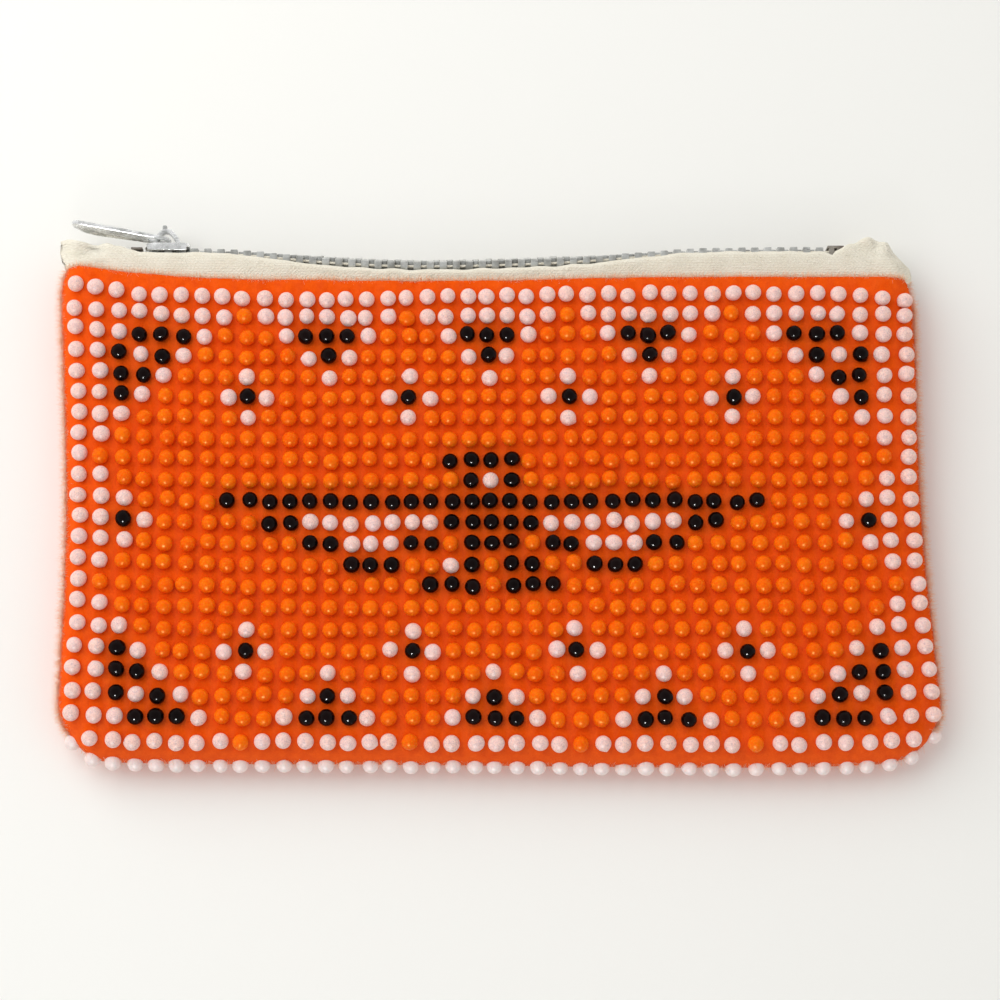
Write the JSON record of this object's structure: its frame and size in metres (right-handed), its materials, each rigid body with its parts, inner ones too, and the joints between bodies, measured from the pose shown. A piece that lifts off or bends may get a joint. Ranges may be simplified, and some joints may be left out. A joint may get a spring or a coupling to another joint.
{
  "type": "beaded coin purse",
  "caption": "Flat zipped felt purse whose front is closely set with round moulded beads in a bird and zigzag pattern; it holds coins and notes.",
  "frame": {"origin": "middle of the back's flat face, which the purse lies on", "axes": "+X along the zip towards its bottom stop, +Y from the foot to the zip, +Z out of the beaded front"},
  "size_m": [0.1318, 0.0863, 0.0107],
  "materials": {
    "orange_felt": "fuzzy felt",
    "cotton_tape": "woven cotton",
    "bright_metal": "bright plated",
    "orange_bead": "slightly translucent",
    "white_bead": "finely speckled",
    "black_bead": "glossy"
  },
  "bodies": {
    "purse": {"front_panel": "orange_felt", "back_panel": "orange_felt", "tape_front": "cotton_tape", "tape_back": "cotton_tape", "chain_front": "bright_metal", "chain_back": "bright_metal", "top_stop_front": "bright_metal", "top_stop_back": "bright_metal", "bottom_stop": "bright_metal"},
    "slider": {"slider_body": "bright_metal"},
    "pull": {"pull_tab": "bright_metal"}
  },
  "joints": [
    {"name": "slider_travel", "type": "slide", "parent": "purse", "child": "slider", "axis": [1, 0, 0], "range_m": [0, 0.0985], "deforming": ["chain_front", "chain_back"]},
    {"name": "pull_swing", "type": "hinge", "parent": "slider", "child": "pull", "pos_m": [-0.0501, 0.04578, 0.00445], "axis": [0, 0, -1], "range_deg": [-3, 164]}
  ]
}
